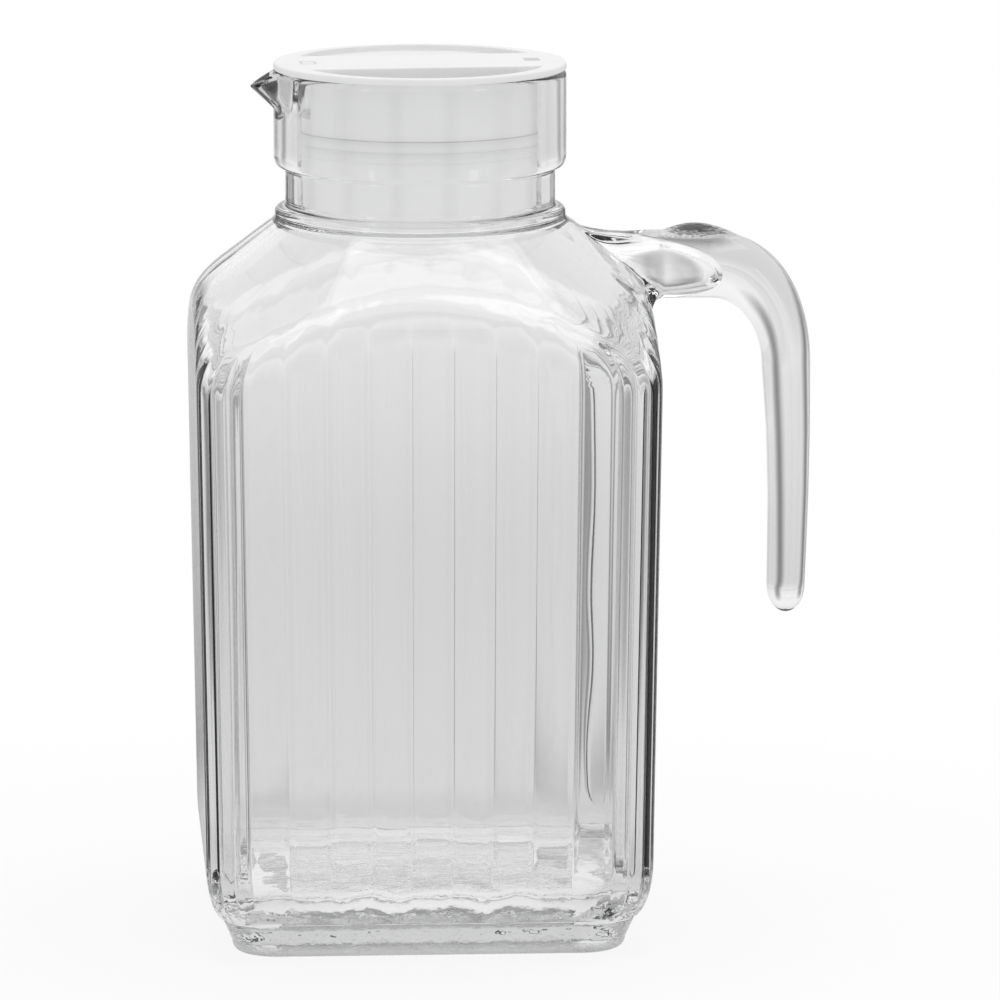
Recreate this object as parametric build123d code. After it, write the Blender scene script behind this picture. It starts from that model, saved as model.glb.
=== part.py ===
from build123d import *
from math import atan2, cos, pi, radians, sin, sqrt, tan
import os

os.makedirs("parts", exist_ok=True)

# All lengths are in millimetres. The origin is the middle of the foot, under the neck's axis.
# The handle is on +X, the spout on -X, and +Z is up.

# Main sizes
body_half = 57.5          # half width across the flats at the shoulder
body_half_low = 55.7      # half width where the panels run out above the foot
bore_radius = 30.5        # inside of the neck
rim_z = 216.2             # top of the glass

# Body of the jug
corner_radius = 11.0      # plan radius of the upright corners
panels_per_flat = 9
ribs_per_corner = 4
panel_bulge = 0.4         # how far a panel stands out between its two valley lines
wall = 3.8
panel_low_z = 24.0
foot_height = 9.0
foot_inset = 4.5          # from the body's low half width to the foot's side
foot_edge = 3.2           # rounding under the foot's edge
foot_taper = 2.2          # how much the foot narrows from its top to its rounding
heel_inset = 5.3          # from the body's low half width to where it meets the foot
bearing_width = 11.6      # flat ring of the foot that stands on the table
punt_depth = 1.8
floor_z = 12.0            # top of the glass floor
floor_rounding = 11.0     # rounding between the floor and the wall inside
foot_half = body_half_low - foot_inset
heel_half = body_half_low - heel_inset
foot_low_half = foot_half - foot_taper
punt_half = foot_low_half - bearing_width

# Shoulder
neck_height = 37.6        # from the top of the shoulder to the rim
shoulder_height = 38.6    # from the top of the plain panels to the top of the shoulder
shoulder_slope = radians(37.4)    # from level
shoulder_blend = 8.5      # width of the rounding between the wall and the cone of the shoulder
panel_fade = 9.0          # how far under the cone the panels start to die away
seat_radius = bore_radius + 6.4   # round top of the shoulder
seat_z = rim_z - neck_height
panel_high_z = seat_z - shoulder_height

# Neck and collar
ring_height = 3.2
collar_height = 23.2
rim_rounding = 1.5
ring_radius = bore_radius + 5.9
ring_top_z = seat_z + ring_height
neck_radius = bore_radius + 3.3
collar_radius = bore_radius + 6.1
collar_low_z = rim_z - collar_height

# Spout
spout_reach = 6.1         # from the collar to the tip
spout_tip_drop = 4.6      # from the rim down to the tip
spout_under_drop = 11.6   # from the rim down to the start of the beak
spout_half_width = 10.0
spout_tip_half_width = 3.0
spout_wall = 1.9
spout_channel_depth = 12.0  # below the rim, at the start of the channel inside the bore
spout_tip_x = -collar_radius - spout_reach
spout_tip_z = rim_z - spout_tip_drop
spout_under_z = rim_z - spout_under_drop

# Handle
arm_drop = 3.2            # from the top of the shoulder down to the arm's top
arm_depth = 17.6
arm_half_width = 10.0
bend_reach = 16.5         # from the jug's wall to the start of the bend
bend_width = 24.2         # of the bend's outer edge
inner_bend_width = 13.0
bend_power = 2.15         # 2 is an ellipse, more is squarer
leg_half_width = 7.8
leg_low_half_width = 6.2
leg_low_thickness = 9.6
bend_depth = 34.9         # from the arm's top down to where the leg starts
leg_depth = 98.0          # from the arm's top down to the leg's tip
thumb_rest_reach = 11.0
thumb_rest_length = 16.0
thumb_rest_width = 10.0
thumb_rest_rise = 2.4
hollow_reach = 18.1       # from the jug's wall to the end of the hollow in the handle's root
hollow_drop = 9.4         # from the arm's top down to the hollow's middle line
hollow_half_width = 6.0
hollow_half_height = 5.3
arm_root_x = bore_radius + 3.5
arm_top_z = seat_z - arm_drop
arm_under_z = arm_top_z - arm_depth
bend_start_x = body_half + bend_reach
leg_tip_z = arm_top_z - leg_depth
thumb_rest_x = body_half + thumb_rest_reach
hollow_tip_x = body_half + hollow_reach
hollow_z = arm_top_z - hollow_drop

# Lid
lid_turn_at_rest = 4.0    # degrees the bar stands off the spout line
plate_overhang = 0.2      # plate beyond the collar
plate_thickness = 1.8
plate_edge = 0.6
plate_rim = 2.3           # thinnest part of the level ring round the dished part of the plate
dish_offset = 4.0         # from the axis to the middle of each dish's round side
dish_drop = 1.1
bar_width = 27.0
well_inset = 4.1          # from the bore to the round side of a well
well_depth = 13.0
cup_wall = 1.2
mark_offset = 2.2         # from the well's round side out to the middle of a mark
mark_length = 4.2
mark_width = 6.0
mark_line = 0.6
mark_depth = 0.4
plug_clearance = 1.1      # between the plug and the bore
plug_wall = 1.5
plug_height = 33.8
window_width = 24.0
window_height = 8.2
window_drop = 2.6         # from the rim down to the window's top
seal_drop = 20.2          # from the rim down to the ring's lower side
seal_height = 5.6
seal_groove = 0.5         # how deep the ring sits in the plug
seal_bore_gap = 0.06      # running gap between the ring and the bore
seal_plug_gap = 0.06      # running gap between the ring and its groove
plate_radius = collar_radius + plate_overhang
dish_radius = plate_radius - plate_rim - dish_offset
well_radius = bore_radius - well_inset
mark_radius = well_radius + mark_offset
plug_low_z = rim_z - plug_height
window_low_z = rim_z - window_drop - window_height
seal_z = rim_z - seal_drop


def square_polar(angle, half, corner):
    """Distance from the axis to a rounded square in the direction of angle (radians)."""
    across = max(abs(cos(angle)), abs(sin(angle)))
    along = min(abs(cos(angle)), abs(sin(angle)))
    flat = half - corner
    if half * along / across <= flat:
        return half / across
    toward = flat * (across + along)
    return toward + sqrt(corner**2 - 2 * flat**2 + toward**2)


def panel_angles():
    """Polar angles of the valley lines round the jug, from the middle of the +X corner pair."""
    flat = body_half - corner_radius
    pitch = 2 * flat / panels_per_flat
    turn = pi / 2 / ribs_per_corner
    quarter = []
    for i in range(panels_per_flat):
        quarter.append(atan2(-flat + i * pitch, body_half))
    for j in range(ribs_per_corner):
        x = flat + corner_radius * cos(j * turn)
        y = flat + corner_radius * sin(j * turn)
        quarter.append(atan2(y, x))
    return [a + k * pi / 2 for k in range(4) for a in quarter]


def soft_min(a, b, width):
    """The smaller of a and b, rounded over width where they cross."""
    share = min(1.0, max(0.0, 0.5 + 0.5 * (b - a) / width))
    return b + (a - b) * share - width * share * (1 - share)


def ring_face(z, angles, half, corner, cone, blend, bulge):
    """Closed face of arcs at height z: a rounded square cut by a circle of radius cone."""
    def point(angle, valley):
        square = square_polar(angle, half, corner)
        fade = min(1.0, max(0.0, (cone - square) / panel_fade - 0.1))
        inset = valley * max(0.02, bulge * fade)
        reach = soft_min(square, cone, blend) - inset
        return (reach * cos(angle), reach * sin(angle), z)

    arcs = []
    for i, start in enumerate(angles):
        end = angles[(i + 1) % len(angles)]
        if end < start:
            end += 2 * pi
        middle = (start + end) / 2
        arcs.append(ThreePointArc(point(start, 1), point(middle, 0), point(end, 1)))
    return Face(Wire(arcs))


def shoulder_cone(z, inset):
    """Radius at height z of the shoulder's cone, moved in by inset."""
    return seat_radius + (seat_z - z) / tan(shoulder_slope) - inset / sin(shoulder_slope)


# Outside of the jug below the neck
outer_angles = panel_angles()
low_share = corner_radius / body_half


def low_face(z, half, bulge):
    return ring_face(z, outer_angles, half, half * low_share, 2 * body_half, shoulder_blend, bulge)


heel_z = foot_height - 0.4
foot_faces = []
for level in [0.0, 0.12, 0.35, 0.65, 1.0]:
    half = foot_low_half - foot_edge * (1 - sqrt(1 - (1 - level)**2))
    foot_faces.append(low_face(level * foot_edge, half, 0.02))
foot_round = loft(foot_faces)
foot_side = loft([foot_faces[-1], low_face(foot_height, foot_half, 0.02)], ruled=True)
heel_rise = panel_low_z - heel_z
heel_out = body_half_low - heel_half
heel_levels = [0.0, 0.25, 0.55, 0.8]
heel_faces = []
for level in heel_levels:
    half = heel_half + heel_out * sqrt(1 - (1 - level)**2)
    heel_faces.append(low_face(heel_z + level * heel_rise, half, 0.02 + panel_bulge * level))
panel_low_face = low_face(panel_low_z, body_half_low, panel_bulge)
panel_high_face = low_face(panel_high_z, body_half, panel_bulge)
heel = loft(heel_faces + [panel_low_face])
panels = loft([panel_low_face, panel_high_face], ruled=True)

shoulder_levels = []
for share in [0.08, 0.16, 0.24, 0.32, 0.4, 0.47, 0.54, 0.61, 0.68, 0.75, 0.83, 0.92]:
    shoulder_levels.append(panel_high_z + share * shoulder_height)
shoulder_faces = [panel_high_face]
for level in shoulder_levels:
    cone = shoulder_cone(level, 0.0)
    shoulder_faces.append(ring_face(level, outer_angles, body_half, corner_radius, cone,
                                    shoulder_blend, panel_bulge))
shoulder_faces.append(ring_face(seat_z, outer_angles, body_half, corner_radius, seat_radius,
                                shoulder_blend, 0.02))
shoulder = loft(shoulder_faces)

# Neck, collar and rim, turned about the axis
with BuildPart() as neck_part:
    with BuildSketch(Plane.XZ):
        with BuildLine():
            Polyline((0, seat_z - 1.0), (ring_radius, seat_z - 1.0), (ring_radius, ring_top_z - 1.2))
            ThreePointArc((ring_radius, ring_top_z - 1.2), (ring_radius - 0.5, ring_top_z - 0.3),
                          (ring_radius - 1.6, ring_top_z))
            Line((ring_radius - 1.6, ring_top_z), (neck_radius, ring_top_z + 1.0))
            Line((neck_radius, ring_top_z + 1.0), (neck_radius, collar_low_z - 2.0))
            ThreePointArc((neck_radius, collar_low_z - 2.0), (neck_radius + 1.9, collar_low_z - 0.7),
                          (collar_radius, collar_low_z + 2.4))
            Line((collar_radius, collar_low_z + 2.4), (collar_radius, rim_z - rim_rounding))
            ThreePointArc((collar_radius, rim_z - rim_rounding),
                          (collar_radius - 0.3 * rim_rounding, rim_z - 0.3 * rim_rounding),
                          (collar_radius - rim_rounding, rim_z))
            Polyline((collar_radius - rim_rounding, rim_z), (0, rim_z), (0, seat_z - 1.0))
        make_face()
    revolve(axis=Axis.Z)
neck = neck_part.part

# Beak of the spout, a cone from the collar to the tip, cut off along its sloping lip


def oval(x, y, z, direction, half_y, half_up):
    """Oval face at a point, square to direction, half_y across and half_up the other way."""
    plane = Plane(origin=(x, y, z), x_dir=(0, 1, 0), z_dir=direction)
    arcs = []
    for k in range(8):
        turns = [(k + step) * pi / 4 for step in (0.0, 0.5, 1.0)]
        arcs.append(ThreePointArc(*[(half_y * cos(t), half_up * sin(t)) for t in turns]))
    return Face(plane.location * Wire(arcs))


spout_root_x = -bore_radius
spout_run = spout_root_x - spout_tip_x
collar_share = (collar_radius - bore_radius) / spout_run
tip_half_height = 1.5
root_half_height = (rim_z - spout_under_z - tip_half_height * collar_share) / (1 - collar_share)
spout_cone = loft([oval(spout_root_x, 0, rim_z, (-1, 0, 0), spout_half_width, root_half_height),
                   oval(spout_tip_x, 0, spout_tip_z, (-1, 0, 0), spout_tip_half_width, tip_half_height)],
                  ruled=True)
lip_high_z = rim_z + 2 * root_half_height
lip_cut = Polyline((spout_root_x, rim_z), (spout_tip_x - 1, spout_tip_z + 0.6),
                   (spout_tip_x - 1, lip_high_z), (spout_root_x, lip_high_z), close=True)
lip_side = Plane.XZ * make_face(lip_cut)
spout = spout_cone - extrude(lip_side, amount=3 * spout_half_width, both=True)
channel_root_x = spout_root_x + 3.0
channel_half_width = spout_half_width - spout_wall
channel = loft([oval(channel_root_x, 0, rim_z, (-1, 0, 0), channel_half_width, spout_channel_depth),
                oval(spout_tip_x - 0.5, 0, spout_tip_z + 0.9, (-1, 0, 0), spout_tip_half_width - 1.2, 1.2)],
               ruled=True)

glass_outside = foot_round + foot_side + heel + panels + shoulder + neck + spout

# Hollow of the jug, with a plain smooth wall
inner_half = body_half - wall
inner_half_low = body_half_low - wall
inner_corner = corner_radius - 2.0
inner_blend = 0.6 * shoulder_blend
floor_top_z = floor_z + floor_rounding


def inner_face(z, half, cone):
    return ring_face(z, outer_angles, half, inner_corner, cone, inner_blend, 0.02)


floor_faces = []
for level in [0.0, 0.08, 0.25, 0.55, 1.0]:
    half = inner_half_low - floor_rounding * (1 - sqrt(1 - (1 - level)**2))
    floor_faces.append(inner_face(floor_z + level * floor_rounding, half, 2 * body_half))
floor_hollow = loft(floor_faces)
wall_top_face = inner_face(panel_high_z, inner_half, 2 * body_half)
wall_hollow = loft([floor_faces[-1], wall_top_face], ruled=True)
inner_shoulder = [wall_top_face]
for level in shoulder_levels:
    inner_shoulder.append(inner_face(level, inner_half, shoulder_cone(level, wall)))
inner_shoulder.append(inner_face(seat_z, inner_half, bore_radius))
shoulder_hollow = loft(inner_shoulder)
up = (Align.CENTER, Align.CENTER, Align.MIN)
bore = Pos(0, 0, seat_z - 2) * Cylinder(bore_radius, rim_z - seat_z + 4, align=up)
jug_hollow = floor_hollow + wall_hollow + shoulder_hollow + bore
punt = loft([low_face(0, punt_half, 0.02), low_face(punt_depth, punt_half - 6.0, 0.02)], ruled=True)

# Hollow that runs from the jug into the handle's root
hollow_root_x = body_half - 13.5
hollow_length = hollow_tip_x - hollow_root_x
hollow_faces = []
for level in [0.0, 0.3, 0.5, 0.68, 0.82, 0.92, 0.98]:
    size = sqrt(1 - level**2)
    hollow_faces.append(oval(hollow_root_x + level * hollow_length / 0.98, 0, hollow_z, (1, 0, 0),
                             hollow_half_width * size, hollow_half_height * size))
handle_hollow = loft(hollow_faces, ruled=True)

# Handle: an arm from the shoulder, a bend, and a leg that hangs free
arm_fall = 1.2
bend_top_z = arm_top_z - arm_fall
bend_low_z = arm_top_z - bend_depth
inner_bend_x = bend_start_x - 1.0
leg_inner_x = inner_bend_x + inner_bend_width
bend_steps = 10
handle_faces = []


def handle_face(outer, inner, half_width):
    """Oval across the handle between a point on its outer edge and one on its inner edge."""
    middle_x = (outer[0] + inner[0]) / 2
    middle_z = (outer[1] + inner[1]) / 2
    across_x = outer[0] - inner[0]
    across_z = outer[1] - inner[1]
    thickness = sqrt(across_x**2 + across_z**2)
    along = (across_z / thickness, 0, -across_x / thickness)
    return oval(middle_x, 0, middle_z, along, half_width, thickness / 2)


for level in [0.0, 0.5]:
    x = arm_root_x + level * (bend_start_x - arm_root_x)
    handle_faces.append(handle_face((x, arm_top_z - level * arm_fall), (x, arm_under_z - 0.4 * (1 - level)),
                                    arm_half_width + 1.5 * (1 - level)))
for step in range(bend_steps + 1):
    level = step / bend_steps
    turn = level * pi / 2
    bow = 2 / bend_power
    outer = (bend_start_x + bend_width * sin(turn)**bow,
             bend_low_z + (bend_top_z - bend_low_z) * max(0.0, cos(turn))**bow)
    inner = (inner_bend_x + inner_bend_width * sin(turn),
             bend_low_z + (arm_under_z - bend_low_z) * cos(turn))
    handle_faces.append(handle_face(outer, inner, arm_half_width + level * (leg_half_width - arm_half_width)))
leg_run = bend_low_z - leg_tip_z
tip_rounding = 7.0
leg_thickness = bend_start_x + bend_width - leg_inner_x
for level, lean in [(0.3, 1.2), (0.6, 1.7), (0.87, 1.6), (1.0, 1.5)]:
    z = bend_low_z - level * (leg_run - tip_rounding)
    half_width = leg_half_width + level * (leg_low_half_width - leg_half_width)
    thickness = leg_thickness + sqrt(level) * (leg_low_thickness - leg_thickness)
    inner_x = leg_inner_x + lean
    handle_faces.append(handle_face((inner_x + thickness, z), (inner_x, z), half_width))
leg_end_x = leg_inner_x + 1.5 + leg_low_thickness / 2
for level in [0.4, 0.7, 0.9, 0.98]:
    size = sqrt(1 - level**2)
    half_thickness = size * leg_low_thickness / 2
    z = leg_tip_z + tip_rounding * (1 - level) / 0.98 - 0.02 * tip_rounding / 0.98
    handle_faces.append(handle_face((leg_end_x + half_thickness, z), (leg_end_x - half_thickness, z),
                                    size * leg_low_half_width))
handle_bar = loft(handle_faces, ruled=True)
thumb_faces = []
for level in [-0.6, 0.0, 0.35, 0.65, 0.87, 0.97]:
    size = sqrt(1 - max(0.0, level)**2)
    thumb_z = arm_top_z - arm_fall - 0.6 + level * (thumb_rest_rise + 0.6) / 0.97
    thumb_faces.append(oval(thumb_rest_x, 0, thumb_z, (0, 0, 1), size * thumb_rest_width / 2,
                            size * thumb_rest_length / 2))
thumb_rest = loft(thumb_faces, ruled=True)

glass_body = glass_outside - jug_hollow - channel - punt - handle_hollow
glass_handle = handle_bar + thumb_rest - glass_outside - handle_hollow

# Lid: a plate with a bar across it, and a cup for the fingers on each side of the bar
plate_top_z = rim_z + plate_thickness
well_floor_z = plate_top_z - well_depth


def segments(radius, half_gap, low_z, high_z):
    """The two segments of a disc that are left when a bar of half_gap is taken out along X."""
    disc = Pos(0, 0, low_z) * Cylinder(radius, high_z - low_z, align=up)
    return disc - Pos(0, 0, low_z - 1) * Box(4 * radius, 2 * half_gap, high_z - low_z + 2, align=up)


def keep_box(side):
    """Block that keeps a dish off the bar and off the other side of the plate."""
    depth = 2 * plate_radius + bar_half
    block = Box(4 * plate_radius, depth, 3 * plate_thickness, align=up)
    return Pos(0, side * (bar_half - depth / 2), 0) * block


bar_half = bar_width / 2
plate = Pos(0, 0, rim_z) * Cylinder(plate_radius, plate_thickness, align=up)
plate = fillet(plate.edges().filter_by(GeomType.CIRCLE).group_by(Axis.Z)[-1], plate_edge)
cups = segments(well_radius + cup_wall, bar_half - cup_wall, well_floor_z - cup_wall, rim_z + 0.5)
wells = segments(well_radius, bar_half, well_floor_z, plate_top_z + 1)
dish_low_z = plate_top_z - dish_drop
dish_disc = Cylinder(dish_radius, plate_thickness, align=up)
dishes = Pos(0, dish_offset, dish_low_z) * dish_disc - Pos(0, 0, dish_low_z - 1) * keep_box(1)
dishes = dishes + (Pos(0, -dish_offset, dish_low_z) * dish_disc - Pos(0, 0, dish_low_z - 1) * keep_box(-1))
closed_mark = Pos(mark_radius, 0, plate_top_z - mark_depth) * Box(mark_length, mark_width, 2, align=up)
frame_hole = Box(mark_length - 2 * mark_line, mark_width - 2 * mark_line, 4, align=up)
open_frame = Box(mark_length, mark_width, 2, align=up) - Pos(0, 0, -1) * frame_hole
open_mark = Pos(-mark_radius, 0, plate_top_z - mark_depth) * open_frame
lid_cap = plate + cups - wells - dishes - closed_mark - open_mark

# Plug with the pour window on the spout side and a groove for the soft ring
plug_radius = bore_radius - plug_clearance
plug_inner = plug_radius - plug_wall
groove_radius = plug_radius - seal_groove
plug = Pos(0, 0, plug_low_z) * Cylinder(plug_radius, rim_z - plug_low_z, align=up)
plug = chamfer(plug.edges().group_by(Axis.Z)[0], 0.5)
plug_hole = Pos(0, 0, plug_low_z - 1) * Cylinder(plug_inner, rim_z - plug_low_z + 2, align=up)
groove_band = Pos(0, 0, seal_z) * Cylinder(plug_radius + 5, seal_height, align=up)
groove = groove_band - Pos(0, 0, seal_z - 1) * Cylinder(groove_radius, seal_height + 2, align=up)
window_depth = plug_radius / 2
window = Pos(-plug_radius, 0, window_low_z) * Box(window_depth, window_width, window_height, align=up)
lid_plug = plug - plug_hole - groove - window

# Soft ring with two rounded lips that touch the bore
ring_inner = groove_radius + seal_plug_gap
ring_outer = bore_radius - seal_bore_gap
ring_low = seal_z + seal_plug_gap
ring_high = seal_z + seal_height - seal_plug_gap
ring_middle = (ring_low + ring_high) / 2
ring_waist = ring_inner + 0.55 * (ring_outer - ring_inner)
with BuildPart() as seal_part:
    with BuildSketch(Plane.XZ):
        with BuildLine():
            Line((ring_inner, ring_low), (ring_waist, ring_low))
            ThreePointArc((ring_waist, ring_low), (ring_outer, (ring_low + ring_middle) / 2),
                          (ring_waist, ring_middle))
            ThreePointArc((ring_waist, ring_middle), (ring_outer, (ring_high + ring_middle) / 2),
                          (ring_waist, ring_high))
            Polyline((ring_waist, ring_high), (ring_inner, ring_high), (ring_inner, ring_low))
        make_face()
    revolve(axis=Axis.Z)
lid_seal = seal_part.part

turned = Rot(0, 0, lid_turn_at_rest)
pieces = {
    "glass_body": glass_body,
    "glass_handle": glass_handle,
    "lid_cap": turned * lid_cap,
    "lid_plug": turned * lid_plug,
    "lid_seal": lid_seal,
}
for name, piece in pieces.items():
    export_step(piece, f"parts/{name}.step")
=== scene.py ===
import math
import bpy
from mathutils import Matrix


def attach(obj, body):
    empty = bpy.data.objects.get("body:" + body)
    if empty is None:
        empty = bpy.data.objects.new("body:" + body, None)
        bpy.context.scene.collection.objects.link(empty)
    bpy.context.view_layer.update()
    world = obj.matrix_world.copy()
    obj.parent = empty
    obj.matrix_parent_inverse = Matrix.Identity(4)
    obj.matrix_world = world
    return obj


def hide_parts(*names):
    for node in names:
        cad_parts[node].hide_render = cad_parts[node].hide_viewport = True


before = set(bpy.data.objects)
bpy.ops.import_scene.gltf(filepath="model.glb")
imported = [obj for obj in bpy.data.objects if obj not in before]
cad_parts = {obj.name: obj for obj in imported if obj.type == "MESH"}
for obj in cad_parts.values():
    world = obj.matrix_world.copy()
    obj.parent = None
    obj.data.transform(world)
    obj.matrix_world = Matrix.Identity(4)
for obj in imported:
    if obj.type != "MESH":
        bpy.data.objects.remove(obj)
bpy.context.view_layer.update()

from types import SimpleNamespace

import bpy
import numpy as np
from bpy.props import FloatProperty, FloatVectorProperty, PointerProperty
from bpy.types import Operator, Panel, PropertyGroup
from mathutils import Vector

bl_info = {
    "name": "Glass pitcher with lid",
    "version": (1, 0, 0),
    "blender": (4, 5, 0),
    "location": "3D View > Sidebar > Pitcher",
    "description": "Builds the looks of a square ribbed glass pitcher with a two-well lid",
    "category": "Object",
}


def length(name, description, default):
    return FloatProperty(name=name, description=description, default=default, unit="LENGTH", precision=5)


def turn_angle(name, description, degrees):
    return FloatProperty(name=name, description=description, default=math.radians(degrees), subtype="ANGLE")


def colour(name, description, default):
    return FloatVectorProperty(name=name, description=description, default=default, subtype="COLOR", size=3,
                               min=0, max=1)


class JugSizes(PropertyGroup):
    body_half: length("Body half width", "Half width across the flats at the shoulder", 0.0575)
    body_half_low: length("Low half width", "Half width where the panels run out above the foot", 0.0557)
    corner_radius: length("Corner radius", "Plan radius of the upright corners", 0.011)
    panel_bulge: length("Panel bulge", "How far a panel stands out between its valley lines", 0.00046)
    wall: length("Wall", "Thickness of the glass wall", 0.0038)
    panel_low_z: length("Panel low", "Height where the panels are at full depth", 0.024)
    panel_high_z: length("Panel high", "Height where the shoulder starts", 0.140)
    foot_height: length("Foot height", "Height of the foot's side", 0.009)
    foot_half: length("Foot half width", "Half width of the foot at its top", 0.0512)
    foot_edge: length("Foot edge", "Rounding under the foot's edge", 0.0032)
    foot_taper: length("Foot taper", "How much narrower the foot is at its edge", 0.0022)
    heel_half: length("Heel half width", "Half width where the body meets the foot", 0.0504)
    punt_half: length("Punt half width", "Half width of the hollow under the foot", 0.0374)
    punt_depth: length("Punt depth", "Depth of the hollow under the foot", 0.0018)
    floor_z: length("Floor", "Top of the glass floor at its edge", 0.012)
    floor_rounding: length("Floor rounding", "Rounding between floor and wall inside", 0.011)
    shoulder_blend: length("Shoulder blend", "Width over which wall and slope round into each other", 0.0085)
    shoulder_slope: turn_angle("Shoulder slope", "Slope of the shoulder from level", 37.4)
    seat_radius: length("Shoulder top", "Radius of the round top of the shoulder", 0.0369)
    seat_z: length("Shoulder top height", "Height of the shoulder's top", 0.1786)
    ring_radius: length("Neck ring", "Radius of the ring under the neck", 0.0364)
    ring_top_z: length("Neck ring top", "Height of the ring's top", 0.1818)
    neck_radius: length("Neck", "Radius of the neck", 0.0338)
    collar_low_z: length("Collar low", "Height where the collar starts", 0.193)
    collar_radius: length("Collar", "Radius of the collar", 0.0366)
    rim_z: length("Rim", "Height of the rim", 0.2162)
    rim_rounding: length("Rim rounding", "Rounding of the rim's outer edge", 0.0015)
    bore_radius: length("Bore", "Inside radius of the neck", 0.0305)
    glass_tint: colour("Glass tint", "Colour left after one surface", (0.986, 0.988, 0.987))
    depth_tint: colour("Depth tint", "Colour that thick glass goes towards", (0.815, 0.819, 0.817))
    depth_density: FloatProperty(name="Depth density", description="How fast thick glass greys", default=22.0)


class LidSizes(PropertyGroup):
    plate_radius: length("Plate radius", "Radius of the lid's plate", 0.0366)
    plate_top_z: length("Plate top", "Height of the plate's top", 0.218)
    plate_low_z: length("Plate underside", "Height of the plate's underside", 0.2162)
    plate_edge: length("Plate edge", "Rounding of the plate's upper edge", 0.0006)
    dish_radius: length("Dish radius", "Radius of the shallow dish round each well", 0.0305)
    dish_offset: length("Dish offset", "How far a dish's centre stands off the middle", 0.004)
    dish_drop: length("Dish drop", "Depth of the shallow dishes", 0.0016)
    bar_half: length("Bar half width", "Half width of the bar between the wells", 0.0135)
    well_radius: length("Well radius", "Radius of the two finger wells", 0.0285)
    well_depth: length("Well depth", "Depth of the finger wells", 0.013)
    cup_wall: length("Cup wall", "Wall thickness round the wells", 0.0007)
    turn: turn_angle("Turn", "Turn of the lid at rest", 4.0)
    white: colour("Lid white", "Colour of the lid", (0.84, 0.84, 0.84))
    plug_white: colour("Plug white", "Colour of the plug", (0.90, 0.902, 0.902))
    seal_white: colour("Seal white", "Colour of the soft ring", (0.85, 0.852, 0.852))


class StageSettings(PropertyGroup):
    azimuth: turn_angle("Azimuth", "Camera turn round the object", -2.8)
    distance: length("Distance", "Level distance from the axis to the camera", 2.184)
    height: length("Height", "Camera height above the floor", 0.486)
    aim_x: length("Aim across", "Place across the picture that the camera looks at", 0.0200)
    aim_z: length("Aim height", "Height that the camera looks at", 0.10675)
    lens: FloatProperty(name="Lens", description="Focal length", default=317.0, unit="CAMERA")


def in_mm(group):
    """The group's lengths in millimetres; angles and colours keep their own values."""
    def value(name):
        entry = getattr(group, name)
        return entry * 1000 if group.bl_rna.properties[name].unit == "LENGTH" else entry
    return SimpleNamespace(**{name: value(name) for name in group.__annotations__})


# The jug's pattern, and its spout, handle and hollow in millimetres

PANELS_PER_FLAT = 9
RIBS_PER_CORNER = 4
COLUMNS_PER_PANEL = 6
COLUMNS_BY_HANDLE = 12
COLUMN_CROWDING = 0.6
PANELS_START_Z = 11.5
PANELS_GROW_OVER = 7.0
PANEL_ROUND, PANEL_CREASE, CREASE_POWER = 0.4, 0.6, 7.5
FADE_START, FADE_END, CORNER_FADE_LATER, CORNER_GAIN = 12.0, 2.0, 10.0, 4
INNER_CORNER_LESS, INNER_BLEND, MOST_CORNER = 2.0, 0.6, 0.98

PUNT_SLOPE, FOOT_LIP = 6, 0.45
UNDERSIDE_START, FLOOR_START = 8, 4
# rows stand closer between these heights, for the handle's root outside and its hollow inside
ROOT_ROWS_Z, HOLLOW_ROWS_Z = (155.0, 178.2), (172.2, 158.4)
INNER_ROWS_TOP_Z = 178.8

OUTSIDE, RIM, INSIDE = 0, 1, 2
SQUARE, ROUND, SHOULDER = 0, 1, -1

SPOUT_TIP = 42.4
SPOUT_TIP_Z = 211.6
SPOUT_UNDER_Z = 206.4
SPOUT_DROP = 3.8
SPOUT_LIP = 1.2
SPOUT_CHANNEL_Z = 204.8
SPOUT_HALF_WIDTH = 8.4
SPOUT_FLARE = 2.2
SPOUT_KEEL = 0.035
SPOUT_CHANNEL_POWER, SPOUT_BELL_POWER = 1.1, 1.25
SPOUT_ROWS_Z, SPOUT_ROWS_HALF = 202.0, 38.0

ROOT_HALF_ANGLE = 0.2
ROOT_LOW_Z, ROOT_HIGH_Z = 155.2, 176.2
ARM_TOP_Z, ARM_UNDER_Z = 175.4, 157.8
ARM_HALF_WIDTH = 10.0
ARM_FALL = 1.2
ARM_FALL_START = 34.0
ARM_START = 61.0
BEND_START = 74.0
BEND_LOW_Z = 140.5
BEND_REACH, BEND_INNER_REACH = 24.2, 13.0
BEND_SQUARENESS = 2.15
BEND_STEPS = 37
BEND_NARROWING, LEG_NARROWING = 2.2, 1.6
LEG_Z = np.array([BEND_LOW_Z, 124.0, 107.0, 92.0, 84.4])
LEG_OUTER = np.array([98.2, 98.2, 97.9, 97.4, 97.1])
LEG_INNER = np.array([86.0, 87.2, 87.7, 87.6, 87.5])
TIP_X = 92.3
TIP_HALF_DEPTH, TIP_HALF_WIDTH, TIP_LENGTH = 4.8, 6.2, 7.0

REST_START, REST_LENGTH = 59.8, 20.4
REST_HEIGHT, REST_HALF_WIDTH = 2.4, 6.4
REST_ABOVE_Z = 167.0
REST_LEAN, REST_CREST = 0.9, 1.2

FILLET_STEPS, FILLET_SMOOTHING = 17, 6
FILLET_LEAVE, FILLET_ARRIVE = 0.55, 0.9
ARM_DIRECTION = np.array([1.0, 0, -0.03])

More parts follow.
